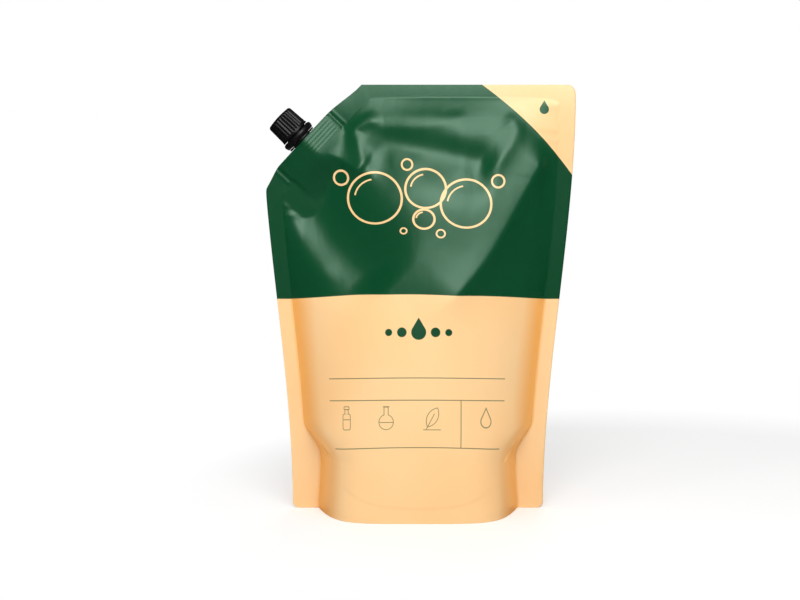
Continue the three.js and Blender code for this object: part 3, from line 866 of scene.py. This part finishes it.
FILM_ROUGHNESS = 0.34
FILM_SHINE = 0.72
SHINE_TINT = (0.7, 1.0, 0.8, 1.0)
BACK_BLOCK = ((0, 84), 50, 24, 3)
BACK_LINE = 0.7
INK_STRENGTH = 0.8
PATCH_FROM = 30
# Painted shade by the seals: how far in from the seals' inner edge it reaches, and the heights where it
# fades out
VALLEY_SHADE_OUTER = (-1.5, 0.5)
VALLEY_SHADE_INNER = (-14, -3)
VALLEY_SHADE_TOP = (-180, -120)
WARMTH_GRAIN = 55
WARMTH_RANGE = (0.35, 0.75)
WARMTH = 0.25
WAVE_GRAIN = 16
WAVE_STRETCH = (1.4, 1, 0.6)
WAVE_HEIGHT = 0.35
TOOTH_GRAIN = 0.7
TOOTH_HEIGHT = 0.012
GLOSS_GRAIN = 22
GLOSS_CHANGE = 0.1


def printed_film():
    """Satin film, printed in two fields of colour with plain shapes."""
    made, tree, shader = new_material("printed_film", FILM_ROUGHNESS)
    shader.inputs["Specular IOR Level"].default_value = FILM_SHINE
    shader.inputs["Specular Tint"].default_value = SHINE_TINT
    _, (u, v, inside) = coordinates(tree, "print")
    vector, _ = coordinates(tree)
    _, (front, _, _) = coordinates(tree, "front")
    light, dark, fine = front_print(u, v)

    centre, radius = circle_through(*PATCH_ARC)
    patch = (-disc(u, v, centre, radius)).filled() * (u - PATCH_FROM).ramp(0, 0.1)
    below = (v - FIELD_EDGE).filled()
    pale = below.most(patch * front)
    pale = pale.most(light.filled() * front)

    # Painted shade: the cream looks deeper where the film turns into the seals, as in the shaded valleys
    # there, and random warmth adds a little of the same colour elsewhere
    turn = inside.ramp(*VALLEY_SHADE_OUTER) * (-inside).ramp(*VALLEY_SHADE_INNER) * (-v).ramp(*VALLEY_SHADE_TOP)
    warmth = noise(tree, vector, WARMTH_GRAIN, 1.0).ramp(*WARMTH_RANGE) * WARMTH
    cream = mixed(tree, turn.most(warmth), CREAM, SHADE_AND_WARMTH_CREAM)
    fields = mixed(tree, pale, GREEN, cream)
    solid = mixed(tree, dark.filled() * front, fields, GREEN)
    back_mark = line_of(block(u, v, *BACK_BLOCK), BACK_LINE).filled() * (-front + 1)
    inked = (fine.filled() * front * INK_STRENGTH).most(back_mark * INK_STRENGTH)
    printed = mixed(tree, inked, solid, INK)
    tree.links.new(printed, shader.inputs["Base Color"])

    # Slow waves of the filled film, the fine tooth of its lacquer, and a gloss that varies a little
    waves = noise(tree, vector, WAVE_GRAIN, 2.0, WAVE_STRETCH) * WAVE_HEIGHT
    tooth = noise(tree, vector, TOOTH_GRAIN, 2.0) * TOOTH_HEIGHT
    bump(tree, shader, waves + tooth)
    gloss = noise(tree, vector, GLOSS_GRAIN, 3.0) * GLOSS_CHANGE + (FILM_ROUGHNESS - GLOSS_CHANGE / 2)
    tree.links.new(gloss.socket, shader.inputs["Roughness"])
    return made


CUT_ROUGHNESS = 0.5
PLY_GRAIN = 0.5
PLY_COLOURS = (srgb(196, 206, 184), srgb(226, 226, 208))


def cut_edge_material():
    """The bare, pale plies where the film is cut."""
    made, tree, shader = new_material("cut_film", CUT_ROUGHNESS)
    vector, _ = coordinates(tree)
    plies = noise(tree, vector, PLY_GRAIN, 2.0)
    colour = mixed(tree, plies, *PLY_COLOURS)
    tree.links.new(colour, shader.inputs["Base Color"])
    return made


CLOUD_GRAIN = 6
BLACKS = (srgb(9, 7, 9), srgb(19, 17, 20))
RUBBED_GRAIN = 2.2
RUBBED_RANGE = (0.35, 0.75)
RUBBED_CHANGE = 0.1
PLASTIC_ROUGHNESS = 0.34
MOULD_GRAIN = 0.28
MOULD_HEIGHT = 0.008


def black_plastic():
    """Moulded polypropylene: black, fine-grained, with a soft shine and rubbed spots."""
    made, tree, shader = new_material("black_plastic", PLASTIC_ROUGHNESS)
    vector, _ = coordinates(tree)
    colour = mixed(tree, noise(tree, vector, CLOUD_GRAIN, 3.0), *BLACKS)
    tree.links.new(colour, shader.inputs["Base Color"])
    rubbed = noise(tree, vector, RUBBED_GRAIN, 3.0).ramp(*RUBBED_RANGE)
    tree.links.new((rubbed * RUBBED_CHANGE + PLASTIC_ROUGHNESS).socket, shader.inputs["Roughness"])
    bump(tree, shader, noise(tree, vector, MOULD_GRAIN, 2.0) * MOULD_HEIGHT)
    return made


# The pouch's film

sheet = build_film()
pouch_film = make_object("pouch_film", sheet.points, sheet.faces)
print_places = pouch_film.data.attributes.new("print", "FLOAT_VECTOR", "POINT")
print_places.data.foreach_set("vector", np.array(sheet.places, dtype=np.float32).ravel())
front_shares = pouch_film.data.attributes.new("front", "FLOAT", "POINT")
front_shares.data.foreach_set("value", np.array(sheet.fronts, dtype=np.float32))
pouch_film.data.materials.append(printed_film())
pouch_film.data.materials.append(cut_edge_material())
is_cut = [int(mark in (EDGE_MARK, POCKET_MARK)) for mark in sheet.marks]
pouch_film.data.polygons.foreach_set("material_index", is_cut)
weld(pouch_film, FILM_WELD)
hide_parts("pouch")
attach(pouch_film, "pack")

# The closure, in the spout's own frame: turned forms about the pour axis

BORE_RADIUS = 5
NECK_RADIUS = 6.1
NECK_TOP = 16.6
FLANGE_RADIUS = 9.3
FLANGE = (0.3, 1.2)
BEAD = (3.0, 4.2)
BEAD_PROUD = 1.1
BAND_RADIUS = 10.2
BAND = (1.5, 5.2)
BAND_INNER = 7.5
BAND_LIP_RADIUS = 6.4
BRIDGES = 8
CAP_FOOT = 5.7
CAP_TOP = 19.2
CAP_RADIUS = 8.9
CAP_DRAFT = 0.4
CAP_RIM = 1.1
CAP_EDGE = 1.6
CAP_DOME = 0.5
CAP_INNER_RADIUS = 7.05
CAP_INNER_TOP = 16.9
FLUTES = 24
FLUTE_DEPTH = 0.5
THREAD_LEAD = 4.0
THREAD_TURNS = 1.75
THREAD_FOOT = 7.2
THREAD_DEPTH = 0.62
THREAD_WIDTH = 1.5
THREAD_CREST_HALF = 0.3
THREAD_STEPS = 90
THREAD_RUNOUT = 0.12
THREAD_BURIED = 0.3
LEAST_THREAD = 0.02
PLATE_EDGE = 0.25
PLATE_POINTS = 17
SHARP_ANGLE = 38

spout_matrix = Matrix((
    (along_cut[0], 0, pour_axis[0], spout_origin[0]),
    (0, 1, 0, 0),
    (along_cut[2], 0, pour_axis[2], spout_origin[2]),
    (0, 0, 0, 1),
))


EASE_ROOM = 2.5
LEAST_EASE = 0.02
EASE_POINTS = 4


def eased(profile, radius):
    """A profile whose corners are rounded where its sides leave room."""
    points = []
    count = len(profile)
    for i in range(count):
        here = np.array(profile[i], float)
        before = np.array(profile[i - 1], float) - here
        after = np.array(profile[(i + 1) % count], float) - here
        reach = min(radius, np.linalg.norm(before) / EASE_ROOM, np.linalg.norm(after) / EASE_ROOM)
        if here[0] <= 0 or reach < LEAST_EASE:
            points.append(here)
            continue
        start = here + before / np.linalg.norm(before) * reach
        end = here + after / np.linalg.norm(after) * reach
        for t in np.linspace(0, 1, EASE_POINTS):
            points.append((1 - t) ** 2 * start + 2 * t * (1 - t) * here + t * t * end)
    return np.array(points)


def revolve(profile, steps, change=None):
    """Points and faces of a closed profile of (radius, height) turned about the axis."""
    angles = np.linspace(0, 2 * math.pi, steps, endpoint=False)
    points = []
    for angle in angles:
        for radius, height in profile:
            r = radius if change is None else change(radius, height, angle)
            points.append((r * math.cos(angle), r * math.sin(angle), height))
    count = len(profile)
    faces = []
    for i in range(steps):
        j = (i + 1) % steps
        for k in range(count):
            m = (k + 1) % count
            faces.append((i * count + k, j * count + k, j * count + m, i * count + m))
    return points, faces


def thread(root, depth, foot):
    """A helical ridge on a wall that runs out at both ends, and points inwards if its depth is negative."""
    steps = int(THREAD_TURNS * THREAD_STEPS)
    points = []
    faces = []
    for i in range(steps + 1):
        turn = THREAD_TURNS * i / steps
        angle = 2 * math.pi * turn
        fade = min(1, turn / THREAD_RUNOUT, (THREAD_TURNS - turn) / THREAD_RUNOUT)
        middle = foot + THREAD_LEAD * turn
        buried = root - math.copysign(THREAD_BURIED, depth)
        crest = root + depth * max(fade, LEAST_THREAD)
        for radius, height in (
            (buried, middle - THREAD_WIDTH / 2), (crest, middle - THREAD_CREST_HALF),
            (crest, middle + THREAD_CREST_HALF), (buried, middle + THREAD_WIDTH / 2),
        ):
            points.append((radius * math.cos(angle), radius * math.sin(angle), height))
    for i in range(steps):
        for k in range(4):
            m = (k + 1) % 4
            faces.append((4 * i + k, 4 * i + m, 4 * i + 4 + m, 4 * i + 4 + k))
    faces.append((0, 1, 2, 3))
    faces.append((4 * steps + 3, 4 * steps + 2, 4 * steps + 1, 4 * steps))
    return points, faces


def boat_plate(low, high, margin):
    """A plate with the boat's outline and soft edges, open at the middle for the bore's tube."""
    _, reach, _, crown = boat_sizes(margin)

    def outline(inset):
        middle = np.linspace(-crown, crown, PLATE_POINTS)
        along = np.concatenate([[-reach], middle, [reach]]) * (1 - inset / reach)
        half = boat_half(np.abs(along), margin) - inset
        loop = [(a, -h) for a, h in zip(along, half)]
        return loop + [(a, h) for a, h in zip(along[::-1], half[::-1])]

    soft = min(PLATE_EDGE, (high - low) / 3)
    loops = []
    for height, inset in ((low, soft), (low + soft, 0), (high - soft, 0), (high, soft)):
        loops.append([(a, h, height) for a, h in outline(inset)])
    hole = (BORE_RADIUS + NECK_RADIUS) / 2
    for height in (high, low):
        ring = []
        for a, h, _ in loops[0]:
            far = math.hypot(a, h)
            ring.append((a / far * hole, h / far * hole, height))
        loops.append(ring)
    count = len(loops[0])
    faces = []
    for level in range(len(loops)):
        here = level * count
        above = (level + 1) % len(loops) * count
        for k in range(count):
            m = (k + 1) % count
            faces.append((here + k, here + m, above + m, above + k))
    return [point for loop in loops for point in loop], faces


def closure_piece(name, parts, node, body):
    """Joins the parts in the spout's frame into one piece that stands for a node."""
    points = []
    faces = []
    for part_points, part_faces in parts:
        start = len(points)
        points += [spout_matrix @ Vector(p) for p in part_points]
        faces += [tuple(start + i for i in face) for face in part_faces]
    made = make_object(name, points, faces)
    weld(made, CLOSURE_WELD)
    made.data.set_sharp_from_angle(angle=math.radians(SHARP_ANGLE))
    made.data.materials.append(black)
    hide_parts(node)
    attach(made, body)


FLUTE_FROM = 0.7
FLUTE_RUNIN = 0.6
FLUTE_RUNOUT = 1.2
FLUTE_TOP_GAP = 0.2
FLUTE_ROUND = 0.55
WALL_STEPS = 9
EDGE_TURN = 15
RIM_PROUD = 0.2
RIM_LEAD_IN = (0.4, 0.8)
RIM_EASE = 0.15
INNER_CORNER = 0.5
DOME_SHARES = (0.66, 0.33, 0.0)


def flute(radius, height, angle):
    """The cap's radius where rounded flutes are pressed into its grip."""
    foot = CAP_FOOT + CAP_RIM
    on_wall = radius > CAP_RADIUS - CAP_DRAFT - CAP_EDGE * FLUTE_FROM
    if not on_wall or height < foot:
        return radius
    below_top = CAP_TOP - CAP_DOME - FLUTE_TOP_GAP - height
    runout = min(1, (height - foot) / FLUTE_RUNIN) * min(1, max(0, below_top / FLUTE_RUNOUT))
    wave = 0.5 + 0.5 * math.cos(FLUTES * angle)
    return radius - FLUTE_DEPTH * runout * (1 - wave**FLUTE_ROUND)


def grip_profile():
    """The cap's wall, from its rim over the rounded top to the dome and down inside."""
    foot = CAP_FOOT + CAP_RIM
    grip_top = CAP_TOP - CAP_DOME - CAP_EDGE
    top_radius = CAP_RADIUS - CAP_DRAFT
    grip_foot = foot + FLUTE_RUNIN
    wall = [(CAP_RADIUS, foot), (CAP_RADIUS, foot + FLUTE_RUNIN / 2)]
    for share in np.linspace(0, 1, WALL_STEPS):
        wall.append((CAP_RADIUS - CAP_DRAFT * share, grip_foot + (grip_top - grip_foot) * share))
    for degrees in range(EDGE_TURN, 90 + 1, EDGE_TURN):
        angle = math.radians(degrees)
        wall.append((top_radius - CAP_EDGE * (1 - math.cos(angle)), grip_top + CAP_EDGE * math.sin(angle)))
    crown = top_radius - CAP_EDGE
    for share in DOME_SHARES:
        wall.append((crown * share, CAP_TOP - CAP_DOME * (share + TINY) ** 2))
    rim = eased([
        (CAP_INNER_RADIUS, CAP_FOOT + RIM_LEAD_IN[1]), (CAP_INNER_RADIUS + RIM_LEAD_IN[0], CAP_FOOT),
        (CAP_RADIUS + RIM_PROUD, CAP_FOOT), (CAP_RADIUS + RIM_PROUD, foot - RIM_PROUD),
    ], RIM_EASE)
    inner = [
        (0.0, CAP_INNER_TOP), (CAP_INNER_RADIUS - INNER_CORNER, CAP_INNER_TOP),
        (CAP_INNER_RADIUS, CAP_INNER_TOP - INNER_CORNER),
    ]
    return [tuple(p) for p in rim] + wall + inner


black = black_plastic()

NECK_LIP = 0.5
BEAD_SLOPE = 0.3
NECK_EASE = 0.2
NECK_STEPS = 128
BOAT_TOP = -0.45
RIBS = 4
RIB_HALF = 0.45
RIB_PROUD = 0.2

neck_profile = eased([
    (BORE_RADIUS, -BOAT_DEPTH), (NECK_RADIUS, -BOAT_DEPTH), (NECK_RADIUS, FLANGE[0]),
    (FLANGE_RADIUS, FLANGE[0]), (FLANGE_RADIUS, FLANGE[1]), (NECK_RADIUS, FLANGE[1]),
    (NECK_RADIUS, BEAD[0]), (NECK_RADIUS + BEAD_PROUD, BEAD[0]), (NECK_RADIUS, BEAD[1] + BEAD_SLOPE),
    (NECK_RADIUS, NECK_TOP - NECK_LIP), (NECK_RADIUS - NECK_LIP, NECK_TOP), (BORE_RADIUS, NECK_TOP),
], NECK_EASE)
rib_pitch = (BOAT_DEPTH + BOAT_TOP) / RIBS
spout_parts = [revolve(neck_profile, NECK_STEPS), thread(NECK_RADIUS, THREAD_DEPTH, THREAD_FOOT)]
for rib in range(RIBS):
    rib_height = BOAT_TOP - rib_pitch * (rib + 0.5)
    spout_parts.append(boat_plate(rib_height - RIB_HALF, rib_height + RIB_HALF, RIB_PROUD))
spout_parts.append(boat_plate(-BOAT_DEPTH, BOAT_TOP, 0))
closure_piece("spout_moulding", spout_parts, "spout", "pack")

BAND_FOOT_CORNER = (0.6, 1.6)
BAND_TOP_CORNER = 0.8
BAND_LIP = (0.9, 1.2)
BAND_EASE = 0.3
BAND_STEPS = 160
BRIDGE_PROUD = 0.25
BRIDGE_BURIED = 0.2
BRIDGE_FOOT_HALF = 0.585
BRIDGE_TIP_HALF = 0.27
SQUARE = [(-1, -1), (1, -1), (1, 1), (-1, 1)]

band_profile = eased([
    (BAND_LIP_RADIUS, BAND[0]), (BAND_RADIUS - BAND_FOOT_CORNER[0], BAND[0]),
    (BAND_RADIUS, BAND[0] + BAND_FOOT_CORNER[1]), (BAND_RADIUS, BAND[1] - BAND_TOP_CORNER),
    (BAND_RADIUS - BAND_TOP_CORNER, BAND[1]), (BAND_INNER, BAND[1]),
    (BAND_INNER, BAND[0] + BAND_LIP[1]), (BAND_LIP_RADIUS, BAND[0] + BAND_LIP[0]),
], BAND_EASE)
band_parts = [revolve(band_profile, BAND_STEPS)]
bridge_levels = [(BAND[1] - BRIDGE_BURIED, BRIDGE_FOOT_HALF), (BAND[1] + BRIDGE_PROUD, BRIDGE_TIP_HALF)]
middle_radius = (BAND_INNER + CAP_RADIUS) / 2
for bridge in range(BRIDGES):
    angle = 2 * math.pi * bridge / BRIDGES
    nub = []
    for height, half in bridge_levels:
        for across, out in SQUARE:
            x = middle_radius + out * half
            nub.append((x * math.cos(angle) - across * half * math.sin(angle),
                        x * math.sin(angle) + across * half * math.cos(angle), height))
    sides = [(k, (k + 1) % 4, 4 + (k + 1) % 4, 4 + k) for k in range(4)]
    band_parts.append((nub, [(3, 2, 1, 0), *sides, (4, 5, 6, 7)]))
closure_piece("tamper_band_moulding", band_parts, "tamper_band", "band")

STEPS_A_FLUTE = 12
cap_parts = [
    revolve(grip_profile(), FLUTES * STEPS_A_FLUTE, flute),
    thread(CAP_INNER_RADIUS, -THREAD_DEPTH, THREAD_FOOT - THREAD_LEAD / 2),
]
closure_piece("screw_cap_moulding", cap_parts, "screw_cap", "cap")

# Camera, floor and light

CAMERA_PLACE = (-0.0105, -1.1, 0.25)
CAMERA_AIM = (-0.0105, 0, 0.1223)
LENS = 86.2
SENSOR_WIDTH = 36


def aimed(name, data, location, aim):
    """Places a new camera or lamp and turns it to its aim."""
    made = bpy.data.objects.new(name, data)
    made.location = location
    made.rotation_euler = (Vector(aim) - Vector(location)).to_track_quat("-Z", "Y").to_euler()
    bpy.context.scene.collection.objects.link(made)
    return made


camera_data = bpy.data.cameras.new("camera")
camera_data.lens = LENS
camera_data.sensor_width = SENSOR_WIDTH
bpy.context.scene.camera = aimed("camera", camera_data, CAMERA_PLACE, CAMERA_AIM)

# The floor is lit and shadowed near the pack, and plain white for the camera further out

FLOOR_HALF = 9.0
FLOOR_COLOUR = (0.92, 0.92, 0.92, 1)
FLOOR_ROUGHNESS = 0.9
FLOOR_SPECULAR = 0.1
FLOOR_MIDDLE = (0.14, 0.05, 0)
FLOOR_PLAIN = (0.2, 0.29)
FLOOR_LIFT = 0.2
WHITE = (1, 1, 1, 1)

floor_points = [(x * FLOOR_HALF, y * FLOOR_HALF, 0) for x, y in SQUARE]
floor = make_object("floor", floor_points, [(0, 1, 2, 3)], 1.0)


def floor_material():
    """A white that the camera sees lifted near the pack, and as plain white further out."""
    made, tree, shader = new_material("floor", FLOOR_ROUGHNESS)
    new, link = tree.nodes.new, tree.links.new
    shader.inputs["Base Color"].default_value = FLOOR_COLOUR
    shader.inputs["Specular IOR Level"].default_value = FLOOR_SPECULAR
    seen = Field(tree, new("ShaderNodeLightPath").outputs["Is Camera Ray"])
    position = new("ShaderNodeTexCoord")
    distance = new("ShaderNodeVectorMath")
    distance.operation = "DISTANCE"
    distance.inputs[1].default_value = FLOOR_MIDDLE
    link(position.outputs["Object"], distance.inputs[0])
    far = Field(tree, distance.outputs["Value"]).ramp(*FLOOR_PLAIN)

    lift = new("ShaderNodeEmission")
    lift.inputs["Color"].default_value = WHITE
    link((seen * FLOOR_LIFT).socket, lift.inputs["Strength"])
    near = new("ShaderNodeAddShader")
    link(shader.outputs[0], near.inputs[0])
    link(lift.outputs[0], near.inputs[1])

    plain = new("ShaderNodeEmission")
    plain.inputs["Color"].default_value = WHITE
    mix = new("ShaderNodeMixShader")
    link((seen * far).socket, mix.inputs[0])
    link(near.outputs[0], mix.inputs[1])
    link(plain.outputs[0], mix.inputs[2])
    link(mix.outputs[0], tree.nodes["Material Output"].inputs["Surface"])
    return made


floor.data.materials.append(floor_material())
floor.visible_glossy = False

WORLD_LIGHT = 0.38
WORLD_IN_GLOSS = 0.02


def make_world():
    """A dim, even surround, darker in reflections and seen as plain white by the camera."""
    world = bpy.data.worlds.new("studio")
    bpy.context.scene.world = world
    world.use_nodes = True
    tree = world.node_tree
    rays = tree.nodes.new("ShaderNodeLightPath")
    shown = tree.nodes["Background"]
    shown.inputs["Strength"].default_value = WORLD_LIGHT
    shown.inputs["Color"].default_value = WHITE
    result = shown.outputs[0]
    for kind, level in (("Is Glossy Ray", WORLD_IN_GLOSS), ("Is Camera Ray", 1.0)):
        other = tree.nodes.new("ShaderNodeBackground")
        other.inputs["Color"].default_value = WHITE
        other.inputs["Strength"].default_value = level
        choice = tree.nodes.new("ShaderNodeMixShader")
        tree.links.new(rays.outputs[kind], choice.inputs[0])
        tree.links.new(result, choice.inputs[1])
        tree.links.new(other.outputs[0], choice.inputs[2])
        result = choice.outputs[0]
    tree.links.new(result, tree.nodes["World Output"].inputs["Surface"])


make_world()

# Each lamp's name, place, height of its aim, size, watts, and whether gloss shows it
LAMPS = [
    ("key", (-0.25, -1.15, 0.8), 0.13, (0.4, 0.4), 2.1, False),
    ("side", (-0.95, -0.8, 0.6), 0.13, (0.3, 0.3), 1.6, False),
    ("behind", (0.2, 1.15, 0.9), 0.13, (0.6, 0.6), 3.4, False),
    ("softbox", (0.15, -0.97, 0.9), 0.15, (1.2, 0.92), 6.2, True),
    ("softbox_middle", (0.17, -0.99, 0.91), 0.15, (0.62, 0.46), 3.6, True),
]
for name, location, aim_height, size, power, in_gloss in LAMPS:
    lamp_data = bpy.data.lights.new(name, "AREA")
    lamp_data.shape = "RECTANGLE"
    lamp_data.size, lamp_data.size_y = size
    lamp_data.energy = power
    aimed(name, lamp_data, location, (0, 0, aim_height)).visible_glossy = in_gloss

bpy.context.scene.view_settings.view_transform = "Standard"
